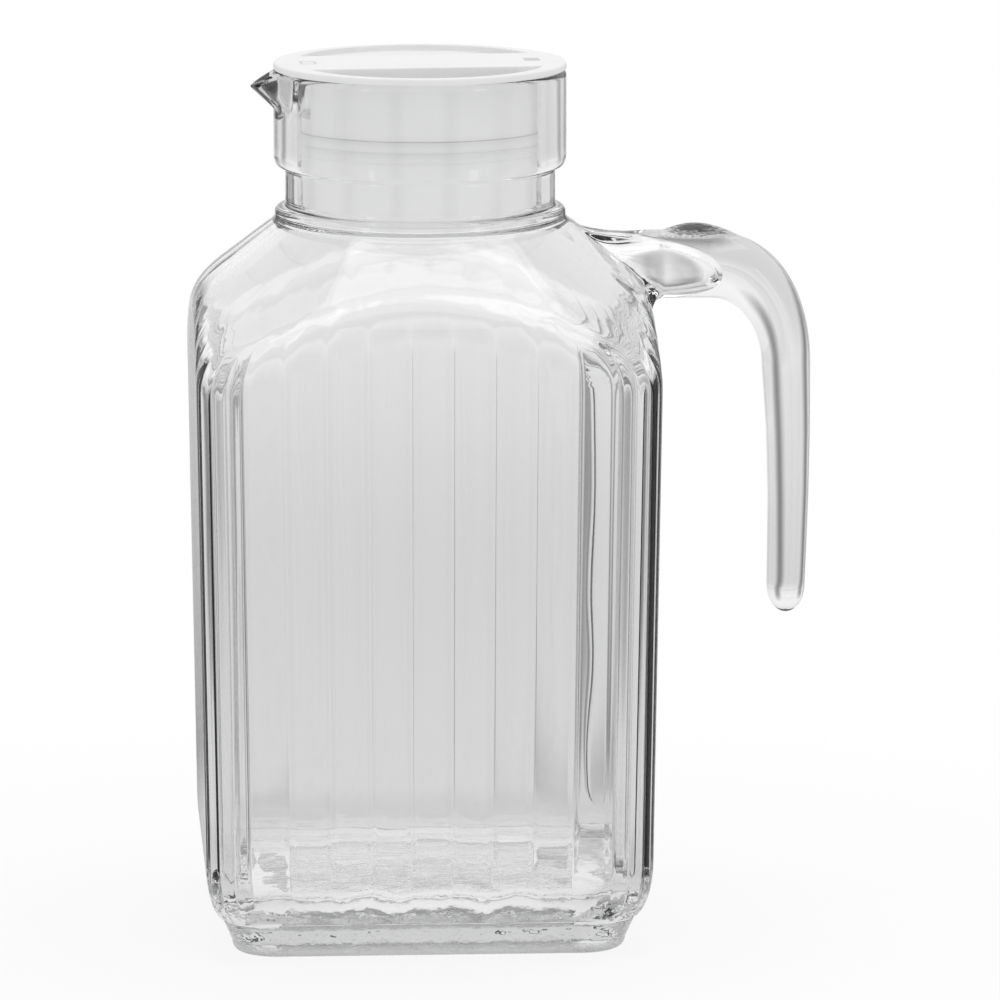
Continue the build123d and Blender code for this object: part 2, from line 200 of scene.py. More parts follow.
HOLLOW_Z = 164.2
HOLLOW_UP, HOLLOW_DOWN, HOLLOW_HALF_WIDTH = 7.4, 4.4, 6.0
HOLLOW_START, HOLLOW_LENGTH, HOLLOW_POWER = 44.0, 31.6, 0.62
FUNNEL_DEPTH, FUNNEL_WIDTH = 11.0, 8.0
FUNNEL_Z, FUNNEL_HEIGHT = 165.0, 6.0
HANDLE_SIDE_X = 20.0

FLOOR_DOME, FLOOR_DOME_RADIUS = 3.0, 44.0
FLOOR_FORM_Z, FLOOR_FORM_FADE = 26.0, 8.0


def smooth(t):
    """Smooth step 3 t^2 - 2 t^3 for t from 0 to 1."""
    return t * t * (3 - 2 * t)


def soft_min(a, b, width):
    """Smaller of a and b, joined by a parabola where they differ by less than width."""
    h = np.clip(0.5 + 0.5 * (b - a) / width, 0, 1)
    return b + (a - b) * h - width * h * (1 - h)


def square_polar(angle, half, corner):
    """Distance from the axis to a rounded square, along each angle.

    On a flat it is the half width over the cosine of the angle off that flat's middle; on a corner it
    is the far crossing of the ray with the corner's circle."""
    across = np.maximum(np.abs(np.cos(angle)), np.abs(np.sin(angle)))
    along = np.minimum(np.abs(np.cos(angle)), np.abs(np.sin(angle)))
    flat = half - corner
    toward = flat * (across + along)
    bend = toward + np.sqrt(np.maximum(corner**2 - 2 * flat**2 + toward**2, 0))
    return np.where(half * along / across <= flat, half / across, bend)


def panel_columns(s):
    """Polar angle and in-panel place (-1 to 1) of every column round the jug.

    Valley lines stand at equal steps along each flat and at equal turns round each corner; inside a
    panel the columns follow a power of -cos(pi k / m), so they crowd at the valley lines."""
    flat = s.body_half - s.corner_radius
    along = -flat + 2 * flat / PANELS_PER_FLAT * np.arange(PANELS_PER_FLAT)
    turn = np.pi / 2 / RIBS_PER_CORNER * np.arange(RIBS_PER_CORNER)
    one_side = np.concatenate([np.arctan2(along, s.body_half),
                               np.arctan2(flat + s.corner_radius * np.sin(turn),
                                          flat + s.corner_radius * np.cos(turn))])
    valleys = np.concatenate([one_side + k * np.pi / 2 for k in (-2, -1, 0, 1)])
    ends = np.append(valleys[1:], valleys[0] + 2 * np.pi)
    per_panel = np.full(valleys.size, COLUMNS_PER_PANEL)
    by_handle = 2 * one_side.size + PANELS_PER_FLAT // 2
    per_panel[by_handle - 1:by_handle + 2] = COLUMNS_BY_HANDLE
    owner = np.repeat(np.arange(valleys.size), per_panel)
    first = np.repeat(np.cumsum(per_panel) - per_panel, per_panel)
    wave = -np.cos(np.pi * (np.arange(owner.size) - first) / per_panel[owner])
    place = np.sign(wave) * np.abs(wave)**COLUMN_CROWDING
    return valleys[owner] + ((ends - valleys) / 2)[owner] * (1 + place), place


def quarter(start, end, steps, level_first=True):
    """Quarter ellipse from start to end (half, z); it leaves start level when level_first, else upright."""
    t = np.linspace(0, np.pi / 2, steps)
    across, up = (np.sin(t), 1 - np.cos(t)) if level_first else (1 - np.cos(t), np.sin(t))
    return np.stack([start[0] + (end[0] - start[0]) * across, start[1] + (end[1] - start[1]) * up], 1)


def straight(start, end, steps):
    """Equal steps on the straight line from start to end."""
    t = np.linspace(0, 1, steps)[:, None]
    return np.array(start) * (1 - t) + np.array(end) * t


def upright(half, z):
    """One half width at each height."""
    return np.stack([np.full_like(z, half), z], 1)


def jug_rows(s):
    """Half width, height, section, panel bulge and side of each row.

    The profile runs from the middle of the underside out to the foot, up the outside, over the rim
    and down the inside to the middle of the floor, in straight lines and quarter ellipses."""
    rows = []

    def add(section, side, *runs, bulge=0.0):
        points = np.concatenate(runs)
        count = len(points)
        rows.append(np.column_stack([points, np.full(count, section), np.broadcast_to(bulge, count),
                                     np.full(count, side)]))

    # underside and foot
    punt_flat = s.punt_half - PUNT_SLOPE
    foot_low = s.foot_half - s.foot_taper
    foot_flat, lip_z = foot_low - s.foot_edge, s.foot_height - FOOT_LIP
    add(SQUARE, OUTSIDE,
        straight((UNDERSIDE_START, s.punt_depth), (punt_flat, s.punt_depth), 4),
        quarter((punt_flat, s.punt_depth), (s.punt_half, 0), 6)[1:-1],
        straight((s.punt_half, 0), (foot_flat, 0), 6),
        quarter((foot_flat, 0), (foot_low, s.foot_edge), 8)[1:],
        straight((foot_low, s.foot_edge), (s.foot_half, lip_z), 5)[1:-1],
        quarter((s.foot_half, lip_z), (s.foot_half - FOOT_LIP, s.foot_height), 4, False))

    # heel, a quarter ellipse with its rows crowded at the foot, then the panelled wall and the shoulder
    level = np.array([0.022, 0.04, 0.07, 0.11, 0.16, 0.22, 0.29, 0.37, 0.46, 0.56, 0.67, 0.78, 0.89, 1.0])
    heel_z = s.foot_height - 0.4
    heel = np.stack([s.heel_half + (s.body_half_low - s.heel_half) * np.sqrt(1 - (1 - level)**2),
                     heel_z + level * (s.panel_low_z - heel_z)], 1)
    grown = smooth(np.clip((heel[:, 1] - PANELS_START_Z) / PANELS_GROW_OVER, 0, 1))
    add(SQUARE, OUTSIDE, heel, bulge=s.panel_bulge * grown)
    wall = straight((s.body_half_low, s.panel_low_z), (s.body_half, s.panel_high_z), 15)[1:]
    add(SQUARE, OUTSIDE, wall, bulge=s.panel_bulge)
    z = np.concatenate([np.arange(s.panel_high_z + 1.4, ROOT_ROWS_Z[0], 1.4), np.arange(*ROOT_ROWS_Z, 0.8)])
    add(SHOULDER, OUTSIDE, upright(s.body_half, z), bulge=s.panel_bulge)

    # ring, neck and collar
    ring, ring_z, neck = s.ring_radius, s.ring_top_z, s.neck_radius
    collar, collar_z, edge_z = s.collar_radius, s.collar_low_z, s.rim_z - s.rim_rounding
    add(ROUND, OUTSIDE,
        np.array([[s.seat_radius + 0.25, s.seat_z - 0.25], [ring + 0.2, s.seat_z + 0.35],
                  [ring, s.seat_z + 1.0]]),
        quarter((ring, ring_z - 1.4), (ring - 1.5, ring_z), 6, False),
        quarter((ring - 1.8, ring_z + 0.05), (neck, ring_z + 1.2), 5),
        straight((neck, ring_z + 2.2), (neck, collar_z - 3.2), 3),
        quarter((neck, collar_z - 2.2), (neck + 0.9, collar_z - 1.2), 4, False),
        quarter((neck + 1.3, collar_z - 1.0), (collar, collar_z + 1.6), 6),
        straight((collar, collar_z + 3.0), (collar, SPOUT_ROWS_Z + 1), 3),
        straight((collar, SPOUT_ROWS_Z + 2), (collar, edge_z - 0.3), 14))

    # rim
    rim_flat, bore = collar - s.rim_rounding, s.bore_radius
    add(ROUND, RIM,
        quarter((collar, edge_z), (rim_flat, s.rim_z), 6, False),
        straight((rim_flat - 0.6, s.rim_z), (bore + 1.3, s.rim_z), 4),
        quarter((bore + 1.0, s.rim_z), (bore, s.rim_z - 1.0), 5))

    # bore, inside of the shoulder, inner wall and floor
    add(ROUND, INSIDE,
        straight((bore, s.rim_z - 1.5), (bore, SPOUT_ROWS_Z + 1.5), 12),
        straight((bore, SPOUT_ROWS_Z - 1), (bore, s.seat_z + 1.0), 5))
    inner, inner_low = s.body_half - s.wall, s.body_half_low - s.wall
    z = np.concatenate([np.arange(INNER_ROWS_TOP_Z, HOLLOW_ROWS_Z[0] + 0.4, -0.8),
                        np.arange(*HOLLOW_ROWS_Z, -0.55),
                        np.arange(HOLLOW_ROWS_Z[1] - 0.4, s.panel_high_z + 0.5, -1.5)])
    add(SHOULDER, INSIDE, upright(inner, z))
    floor_half, floor_top = inner_low - s.floor_rounding, s.floor_z + s.floor_rounding
    add(SQUARE, INSIDE,
        straight((inner, s.panel_high_z), (inner_low, floor_top), 10),
        quarter((inner_low, floor_top), (floor_half, s.floor_z), 12, False)[1:],
        straight((floor_half - 2.5, s.floor_z), (FLOOR_START, s.floor_z), 14))
    return np.concatenate(rows)


def spout_shape(angle, rows, s):
    """Outward push and fall of the beak for every row and column.

    Both are a bell, a power of 1 - turn / width, round the spout's line, times a share that rises with
    height from the beak's underside. The push goes from the channel's at the bore to the keel's at the
    collar."""
    half, z = rows[:, 0:1], rows[:, 1:2]
    turn = np.abs(np.angle(np.exp(1j * (angle - np.pi))))[None, :]
    turn = np.sqrt(turn**2 + SPOUT_KEEL**2) - SPOUT_KEEL
    across = np.clip((half - s.bore_radius) / (s.collar_radius - s.bore_radius), 0, 1)
    keel = (SPOUT_TIP - s.collar_radius) * np.clip(
        (z - SPOUT_UNDER_Z) / (SPOUT_TIP_Z + SPOUT_DROP - SPOUT_UNDER_Z), 0, 1)
    channel = (SPOUT_TIP - SPOUT_LIP - s.bore_radius) * np.clip(
        (z - SPOUT_CHANNEL_Z) / (s.rim_z - SPOUT_CHANNEL_Z), 0, 1)**SPOUT_CHANNEL_POWER
    push = channel + (keel - channel) * across
    width = (SPOUT_HALF_WIDTH + SPOUT_FLARE * across) / half
    bell = np.clip(1 - turn / width, 0, 1)**SPOUT_BELL_POWER
    fall = SPOUT_DROP * np.clip((z - SPOUT_UNDER_Z) / (s.rim_z - SPOUT_UNDER_Z), 0, 1) * bell
    on_collar = (z > SPOUT_ROWS_Z) & (half < SPOUT_ROWS_HALF)
    return np.where(on_collar, push * bell, 0.0), np.where(on_collar, fall, 0.0)


def hollow_out(x, y, z, inside):
    """Moves the inner wall out into the handle's root.

    A bell-shaped funnel is added to x, and inside an egg-shaped outline x is at least the pocket's depth,
    a power of one less the squared distance from the egg's middle."""
    egg = (y / HOLLOW_HALF_WIDTH)**2 + ((z - HOLLOW_Z) / np.where(z > HOLLOW_Z, HOLLOW_UP, HOLLOW_DOWN))**2
    pocket = HOLLOW_START + HOLLOW_LENGTH * np.maximum(1 - egg, 0)**HOLLOW_POWER
    funnel = FUNNEL_DEPTH * np.exp(-(y / FUNNEL_WIDTH)**2 - ((z - FUNNEL_Z) / FUNNEL_HEIGHT)**2)
    x = np.where(inside & (x > HANDLE_SIDE_X), x + funnel, x)
    return np.where(inside & (x > HANDLE_SIDE_X) & (egg < 1), np.maximum(x, pocket), x)


def floor_form(x, y):
    """Height of the floor's low dome, cos squared of the distance from the axis, with two slow ripples."""
    away = np.clip(np.hypot(x, y) / FLOOR_DOME_RADIUS, 0, 1)
    return (FLOOR_DOME * np.cos(np.pi / 2 * away)**2 + 0.4 * np.sin(x / 3.1 + 0.7 + 0.8 * np.sin(y / 7.0))
            + 0.3 * np.sin(x / 1.9 + y / 5.0))


def wall_grid(s, angle, place, rows):
    """Points of every row and column of the jug without its handle.

    The distance from the axis is a circle, a rounded square, or on the shoulder the soft smaller of that
    square and a cone. A panel is set in by its bulge times a round share of p^2 and a crease share of a
    high power of |p| at its place p, which fades out up the shoulder, later at the corners."""
    half, z, section, bulge, side = [rows[:, k:k + 1] for k in range(5)]
    inside, on_shoulder = side == INSIDE, section == SHOULDER
    full = np.where(inside, s.body_half - s.wall, s.body_half)
    corner = np.where(inside, s.corner_radius - INNER_CORNER_LESS, s.corner_radius) * (half / full)
    square = square_polar(angle[None, :], half, np.minimum(corner, half * MOST_CORNER))
    cone = (s.seat_radius + (s.seat_z - z) / np.tan(s.shoulder_slope)
            - np.where(inside, s.wall / np.sin(s.shoulder_slope), 0.0))
    fade_end = FADE_END - CORNER_FADE_LATER * np.clip(CORNER_GAIN * (square / half - 1), 0, 1)
    fade = smooth(np.clip((cone - square - fade_end) / (FADE_START - fade_end), 0, 1))
    p = np.abs(place)[None, :]
    inset = bulge * (PANEL_ROUND * p**2 + PANEL_CREASE * p**CREASE_POWER) * np.where(on_shoulder, fade, 1.0)
    hill = soft_min(square, cone, np.where(inside, INNER_BLEND * s.shoulder_blend, s.shoulder_blend))
    hill = np.maximum(hill, np.where(inside, s.bore_radius, 0))
    push, fall = spout_shape(angle, rows, s)
    reach = np.where(on_shoulder, hill, np.where(section == ROUND, half, square)) - inset + push
    z = np.broadcast_to(z, reach.shape) - fall
    x, y = reach * np.cos(angle), reach * np.sin(angle)
    x = hollow_out(x, y, z, inside)
    z = z + inside * np.clip((FLOOR_FORM_Z - z) / FLOOR_FORM_FADE, 0, 1) * floor_form(x, y)
    return np.stack([x, y, z], -1)


def handle_rings():
    """Outer edge and inner edge (x, z), and half width, of each ring from the arm to the leg's tip.

    The arm is straight, the bend's outer edge is a superellipse and its inner edge an ellipse, the leg
    follows a few sizes in straight steps, and the tip is half an ellipsoid."""
    x = np.linspace(ARM_START, BEND_START, 18)[:-1]
    fallen = (x - ARM_FALL_START) / (BEND_START - ARM_FALL_START)
    lean = np.clip((x - ARM_START) / (BEND_START - ARM_START), 0, 1)
    arm_outer = np.stack([x, ARM_TOP_Z - fallen * ARM_FALL], 1)
    arm_inner = np.stack([x - lean, np.full_like(x, ARM_UNDER_Z)], 1)
    t = np.linspace(0, 1, BEND_STEPS) * np.pi / 2
    power = 2 / BEND_SQUARENESS
    bend_top_z = ARM_TOP_Z - ARM_FALL
    bend_outer = np.stack([BEND_START + BEND_REACH * np.sin(t)**power,
                           BEND_LOW_Z + (bend_top_z - BEND_LOW_Z) * np.cos(t)**power], 1)
    bend_inner = np.stack([BEND_START - 1 + BEND_INNER_REACH * np.sin(t),
                           BEND_LOW_Z + (ARM_UNDER_Z - BEND_LOW_Z) * np.cos(t)], 1)
    z = np.linspace(BEND_LOW_Z, LEG_Z[-1], 20)[1:]
    leg_outer = np.stack([np.interp(-z, -LEG_Z, LEG_OUTER), z], 1)
    leg_inner = np.stack([np.interp(-z, -LEG_Z, LEG_INNER), z], 1)
    down = (BEND_LOW_Z - z) / (BEND_LOW_Z - LEG_Z[-1])
    q = np.sin(np.linspace(0, np.pi / 2, 11)[1:-1])
    size = np.sqrt(1 - q**2)
    z = LEG_Z[-1] - TIP_LENGTH * q
    tip_outer = np.stack([TIP_X + size * TIP_HALF_DEPTH, z], 1)
    tip_inner = np.stack([TIP_X - size * TIP_HALF_DEPTH, z], 1)
    leg_half = ARM_HALF_WIDTH - BEND_NARROWING
    half = np.concatenate([np.full_like(x, ARM_HALF_WIDTH),
                           ARM_HALF_WIDTH - BEND_NARROWING * np.linspace(0, 1, BEND_STEPS),
                           leg_half - LEG_NARROWING * down, size * TIP_HALF_WIDTH])
    return (np.concatenate([arm_outer, bend_outer, leg_outer, tip_outer]),
            np.concatenate([arm_inner, bend_inner, leg_inner, tip_inner]), half)


def handle_tube(edge, inner_edge):
    """Rings of points from the shoulder's patch to the leg's tip.

    Each ring is an ellipse between the handle's edges; its points keep the turn that they have round the
    patch's edge. The thumb rest is a dome, sine along times cos squared across, and the fillet from the
    patch to the first ring is a cubic that leaves along the glass and arrives along the arm."""
    outer, inner, half = handle_rings()
    middle, reach = (outer + inner) / 2, (outer - inner) / 2
    root_z, root_half = (ARM_TOP_Z + ARM_UNDER_Z) / 2, (ARM_TOP_Z - ARM_UNDER_Z) / 2
    turn = np.arctan2((edge[:, 2] - root_z) / root_half, edge[:, 1] / ARM_HALF_WIDTH)
    rings = np.stack([middle[:, :1] + reach[:, :1] * np.sin(turn), half[:, None] * np.cos(turn),
                      middle[:, 1:] + reach[:, 1:] * np.sin(turn)], -1)
    along = np.sin(np.pi * np.clip((rings[..., 0] - REST_START) / REST_LENGTH, 0, 1)**REST_LEAN)
    across = np.cos(np.pi / 2 * np.clip(np.abs(rings[..., 1]) / REST_HALF_WIDTH, 0, 1))**2
    on_top = (np.sin(turn) > 0) & (rings[..., 2] > REST_ABOVE_Z)
    rings[..., 2] += REST_HEIGHT * along**REST_CREST * across * on_top
    leave = inner_edge - edge
    leave /= np.linalg.norm(leave, axis=1, keepdims=True)
    leave = sum(np.roll(leave, k, 0) for k in range(-FILLET_SMOOTHING, FILLET_SMOOTHING + 1))
    leave /= 2 * FILLET_SMOOTHING + 1
    gap = np.linalg.norm(rings[0] - edge, axis=1, keepdims=True)
    leave = leave * gap * FILLET_LEAVE
    arrive = ARM_DIRECTION * gap * FILLET_ARRIVE
    t = np.linspace(0, 1, FILLET_STEPS)[1:-1, None, None]
    fillet = ((2 * t**3 - 3 * t**2 + 1) * edge + (t**3 - 2 * t**2 + t) * leave
              + (3 * t**2 - 2 * t**3) * rings[0] + (t**3 - t**2) * arrive)
    return np.concatenate([fillet, rings])


def jug_mesh(s):
    """Vertices, quads and triangles of the jug with its handle, as one closed surface.

    The grid of rows and columns closes on itself round the axis and ends in two poles; the cells of a
    patch on the shoulder are left out, and the handle's rings start from the patch's edge."""
    angle, place = panel_columns(s)
    rows = jug_rows(s)
    grid = wall_grid(s, angle, place, rows)
    n_rows, n_cols = grid.shape[:2]
    points = grid.reshape(-1, 3)
    index = np.arange(n_rows * n_cols).reshape(n_rows, n_cols)

    patch_cols = np.where(np.abs(angle) < ROOT_HALF_ANGLE)[0]
    patch_rows = np.where((rows[:, 4] == OUTSIDE) & (rows[:, 1] > ROOT_LOW_Z) & (rows[:, 1] < ROOT_HIGH_Z))[0]
    c0, c1, r0, r1 = patch_cols[0], patch_cols[-1], patch_rows[0], patch_rows[-1]
    i, j = np.meshgrid(np.arange(n_rows - 1), np.arange(n_cols), indexing="ij")
    keep = ~((i >= r0) & (i < r1) & (j >= c0) & (j < c1))
    i, j = i[keep], j[keep]
    k = (j + 1) % n_cols
    wall_quads = np.stack([index[i, j], index[i, k], index[i + 1, k], index[i + 1, j]], 1)

    def round_patch(step):
        """Points round the patch, anticlockwise seen from the handle's end, step lines in from its edge."""
        return np.concatenate([index[r0 + step, c0:c1], index[r0:r1, c1 - step], index[r1 - step, c1:c0:-1],
                               index[r1:r0:-1, c0 + step]])
    edge = round_patch(0)
    tube = handle_tube(points[edge], points[round_patch(1)])
    n_rings, n_edge = tube.shape[:2]
    new_index = len(points) + np.arange(n_rings * n_edge).reshape(n_rings, n_edge)
    tube_index = np.concatenate([edge[None, :], new_index])
    a, b = tube_index[:-1], tube_index[1:]
    tube_quads = np.stack([a, np.roll(a, -1, 1), np.roll(b, -1, 1), b], -1).reshape(-1, 4)

    poles = np.array([[0, 0, s.punt_depth], [0, 0, s.floor_z + floor_form(0.0, 0.0)],
                      [TIP_X, 0, LEG_Z[-1] - TIP_LENGTH]])
    verts = np.concatenate([points, tube.reshape(-1, 3), poles])
    pole = len(verts) - len(poles)
    first, last, end = index[0], index[-1], tube_index[-1]
    fans = np.concatenate([np.stack([np.full(n_cols, pole), np.roll(first, -1), first], 1),
                           np.stack([np.full(n_cols, pole + 1), last, np.roll(last, -1)], 1),
                           np.stack([np.full(n_edge, pole + 2), end, np.roll(end, -1)], 1)])
    quads = np.concatenate([wall_quads, tube_quads])
    # points inside the patch are dropped
    used = np.zeros(len(verts), bool)
    used[quads.ravel()] = True
    used[fans.ravel()] = True
    renumber = np.cumsum(used) - 1
    return verts[used], renumber[quads], renumber[fans]


# The lid, in millimetres

CHORD_POINTS, ARC_POINTS = 40, 96
WELL_MIDDLE_Y = 20.0


def d_contour(radius, offset, bar, z):
    """Closed D in the half plane y > 0: a chord at y = bar, then the arc of radius about (0, offset)."""
    reach = np.sqrt(radius**2 - (bar - offset)**2)
    across = -reach + 2 * reach * np.arange(CHORD_POINTS) / CHORD_POINTS
    start = np.arctan2(bar - offset, reach)
    turn = start + (np.pi - 2 * start) * np.arange(ARC_POINTS) / ARC_POINTS
    x = np.concatenate([across, radius * np.cos(turn)])
    y = np.concatenate([np.full(CHORD_POINTS, bar), offset + radius * np.sin(turn)])
    return np.stack([x, y, np.full_like(x, z)], 1)


def d_rows(sizes, edge, edge_z):
    """D-shaped rows of the given sizes, then four equal steps out to the plate's half circle."""
    rows = np.array([d_contour(*size) for size in sizes])
    share = np.array([0.25, 0.5, 0.75, 1.0])[:, None, None]
    return np.concatenate([rows, rows[-1:] + share * (d_contour(edge, 0.0, 0.0, edge_z) - rows[-1:])])


def ring_quads(index):
    """Quads between neighbouring rows of numbered points, each row closed on itself."""
    a, b = index[:-1], index[1:]
    return np.stack([a, b, np.roll(b, -1, 1), np.roll(a, -1, 1)], -1).reshape(-1, 4)


def sheet(rows, pole, flip):
    """Quads between neighbouring closed rows and a fan to the pole in the middle of the first row."""
    n_rows, n = rows.shape[:2]
    index = 1 + np.arange(n_rows * n).reshape(n_rows, n)
    quads = ring_quads(index)
    fan = np.stack([np.zeros(n, int), index[0], np.roll(index[0], -1)], 1)
    if flip:
        quads, fan = quads[:, ::-1], fan[:, ::-1]
    return np.concatenate([pole[None, :], rows.reshape(-1, 3)]), quads, fan


def plate_edge_ring(s, edge):
    """Rows round the plate's edge: a quarter circle under its top, an upright side and a lower chamfer."""
    angle = np.pi / ARC_POINTS * np.arange(1 - ARC_POINTS, 1 + ARC_POINTS)
    t = np.linspace(0, np.pi / 2, 7)
    radius = np.concatenate([edge + s.plate_edge * np.sin(t),
                             [s.plate_radius, s.plate_radius - 0.1, s.plate_radius - 0.3, edge]])
    z = np.concatenate([s.plate_top_z - s.plate_edge * (1 - np.cos(t)),
                        [s.plate_low_z + 0.3, s.plate_low_z + 0.1, s.plate_low_z, s.plate_low_z]])
    return np.stack([radius[:, None] * np.cos(angle), radius[:, None] * np.sin(angle),
                     np.broadcast_to(z[:, None], (len(radius), len(angle)))], -1)


def lid_mesh(s):
    """Vertices, quads and triangles of the cap, turned to its place at rest.

    Either side of the bar an upper sheet of D-shaped rows goes from the well's floor up to the dish and the
    plate's top, and a lower one goes round the well's cup to the plate's underside; a ring joins them."""
    floor, ledge, top = s.plate_top_z - s.well_depth, s.plate_top_z - s.dish_drop, s.plate_top_z
    cup_floor = floor - s.cup_wall
    # each pair is a row's distance in from its outline and its height
    well = [(4.6, floor), (3, floor), (1.6, floor), (0.9, floor + 0.1), (0.35, floor + 0.5),
            (0.08, floor + 1.1), (0, floor + 1.8), (0, floor + 4), (0, floor + 7), (0, ledge - 0.9),
            (0, ledge - 0.45),
            (-0.05, ledge - 0.2), (-0.2, ledge - 0.06), (-0.45, ledge - 0.02)]
    dish = [(0.5, ledge), (0.2, ledge + 0.05), (0.05, ledge + 0.2), (0, ledge + 0.4), (0, top - 0.4),
            (-0.04, top - 0.22), (-0.12, top - 0.1), (-0.25, top - 0.02), (-0.45, top)]
    cup = [(5, cup_floor), (3, cup_floor), (1.0, cup_floor), (0.3, cup_floor + 0.3), (0, cup_floor + 1.0),
           (0, floor + 5), (0, s.plate_low_z - 0.4), (-0.1, s.plate_low_z - 0.1), (-0.4, s.plate_low_z)]
    edge = s.plate_radius - s.plate_edge
    upper = d_rows([(s.well_radius - d, 0.0, s.bar_half + max(d, 0), z) for d, z in well]
                   + [(s.dish_radius - d, s.dish_offset, s.bar_half + min(d, 0), z) for d, z in dish],
                   edge, top)
    lower = d_rows([(s.well_radius + s.cup_wall - d, 0.0, s.bar_half - s.cup_wall + d, z) for d, z in cup],
                   edge, s.plate_low_z)
    verts, quads, fans, start = [], [], [], 0
    for side in (1, -1):
        for rows, pole_z, flip in ((upper, floor, side < 0), (lower, cup_floor, side > 0)):
            pole = np.array([0, side * WELL_MIDDLE_Y, pole_z])
            sheet_verts, sheet_quads, sheet_fan = sheet(rows * np.array([1, side, 1]), pole, flip)
            verts.append(sheet_verts)
            quads.append(sheet_quads + start)
            fans.append(sheet_fan + start)
            start += len(sheet_verts)
    ring = plate_edge_ring(s, edge)
    quads.append(ring_quads(start + np.arange(ring.shape[0] * ring.shape[1]).reshape(ring.shape[:2])))
    verts = np.concatenate(verts + [ring.reshape(-1, 3)])
    kept, same = np.unique(np.round(verts, 5), axis=0, return_inverse=True)
    same = same.ravel()
    c, n = np.cos(s.turn), np.sin(s.turn)
    kept = np.stack([c * kept[:, 0] - n * kept[:, 1], n * kept[:, 0] + c * kept[:, 1], kept[:, 2]], 1)
    return kept, same[np.concatenate(quads)], same[np.concatenate(fans)]


# Materials, in metres

FOOT_FROST_Z = (0.0036, 0.0030)
MOTTLED_Z = (0.022, 0.012)
REST_FROST_Z = (0.1730, 0.1738)
REST_FROST_X = (0.0600, 0.0615)
REST_FROST_Y = (0.0056, 0.0048)
FOOT_ROUGHNESS, REST_ROUGHNESS = 0.42, 0.26
GLASS_IOR, PLASTIC_IOR = 1.5, 1.49

# lumps to the metre and detail of a noise; strength and distance of a bump
WAVES, WAVE_BUMP = (70.0, 1.0), (0.055, 0.002)
WAVE_STRETCH = (1, 1, 0.22)
MOTTLES, MOTTLE_BUMP = (230.0, 2.0), (0.45, 0.001)
STIPPLE, STIPPLE_BUMP = 900.0, (0.3, 0.0005)
CLOUDS, SHEEN = (60.0, 3.0), (90.0, 3.0)
CLOUD_DARK, CLOUD_PALE = 0.96, 1.03
SHEEN_RANGE, SHEEN_SPREAD = (0.2, 0.8), 0.06
GRAIN_DETAIL, GRAIN_BUMP = 2.0, (0.08, 0.0003)

# roughness, and lumps of grain to the metre
LID_FINISH, PLUG_FINISH, SEAL_FINISH = (0.36, 900.0), (0.45, 700.0), (0.6, 500.0)

MARK_X = 0.0281
MARK_HALF = (0.0020, 0.0030)
MARK_HOLE_HALF = (0.0015, 0.0020)
MARK_SOFTNESS = (0.00008, 0.00012)
MARK_Z = (0.2174, 0.2178)
MARK_SHADE = 0.62


class Shading:
    """A node tree, with short ways to add the nodes that the looks are made of."""

    def __init__(self, tree):
        self.nodes, self.links = tree.nodes, tree.links

    def set(self, node, inputs):
        """Links each named input to a socket, or gives it a plain value."""
        for name, value in inputs.items():
            if isinstance(value, bpy.types.NodeSocket):
                self.links.new(value, node.inputs[name])
            else:
                node.inputs[name].default_value = value

    def node(self, kind, inputs=None, **settings):
        """New node with its settings and its inputs."""
        node = self.nodes.new("ShaderNode" + kind)
        for name, value in settings.items():
            setattr(node, name, value)
        self.set(node, inputs or {})
        return node

    def place(self):
        """Place on the object, in metres."""
        return self.node("TexCoord").outputs["Object"]

    def split(self, vector):
        """The x, y and z of a vector."""
        return self.node("SeparateXYZ", {0: vector}).outputs

    def calc(self, operation, *values):
        """Math node on sockets or plain numbers."""
        return self.node("Math", dict(enumerate(values)), operation=operation).outputs[0]

    def ramp(self, value, start, end, low=0.0, high=1.0):
        """Smooth step of value from low at start to high at end."""
        inputs = {"Value": value, "From Min": start, "From Max": end, "To Min": low, "To Max": high}
        return self.node("MapRange", inputs, interpolation_type="SMOOTHSTEP").outputs["Result"]

    def noise(self, vector, scale, detail):
        """Noise with scale lumps to the metre."""
        return self.node("TexNoise", {"Vector": vector, "Scale": scale, "Detail": detail}).outputs["Fac"]

    def dots(self, vector, scale):
        """Rounded cells, scale of them to the metre, as the distance from each cell's middle."""
        inputs = {"Vector": vector, "Scale": scale, "Smoothness": 0.4}
        return self.node("TexVoronoi", inputs, feature="SMOOTH_F1").outputs["Distance"]

    def bump(self, height, strength, distance, normal=None):
        """Normal tilted by a height, on top of another normal where one is given."""
        inputs = {"Height": height, "Strength": strength, "Distance": distance}
        if normal is not None:
            inputs["Normal"] = normal
        return self.node("Bump", inputs).outputs["Normal"]

    def blend(self, factor, first, second):
        """Colour that is first where factor is nought and second where it is one."""
        inputs = {"Factor": factor, "A": first, "B": second}
        return self.node("Mix", inputs, data_type="RGBA").outputs["Result"]

    def surface(self, factor, first, second):
        """The material's surface: the first shader where factor is nought, the second where it is one."""
        mix = self.node("MixShader", {"Fac": factor, 1: first, 2: second})
        self.set(self.nodes["Material Output"], {"Surface": mix.outputs["Shader"]})


def new_material(name):
    """Material with its shading and its shader."""
    material = bpy.data.materials.new(name)
    material.use_nodes = True
    return material, Shading(material.node_tree), material.node_tree.nodes["Principled BSDF"]


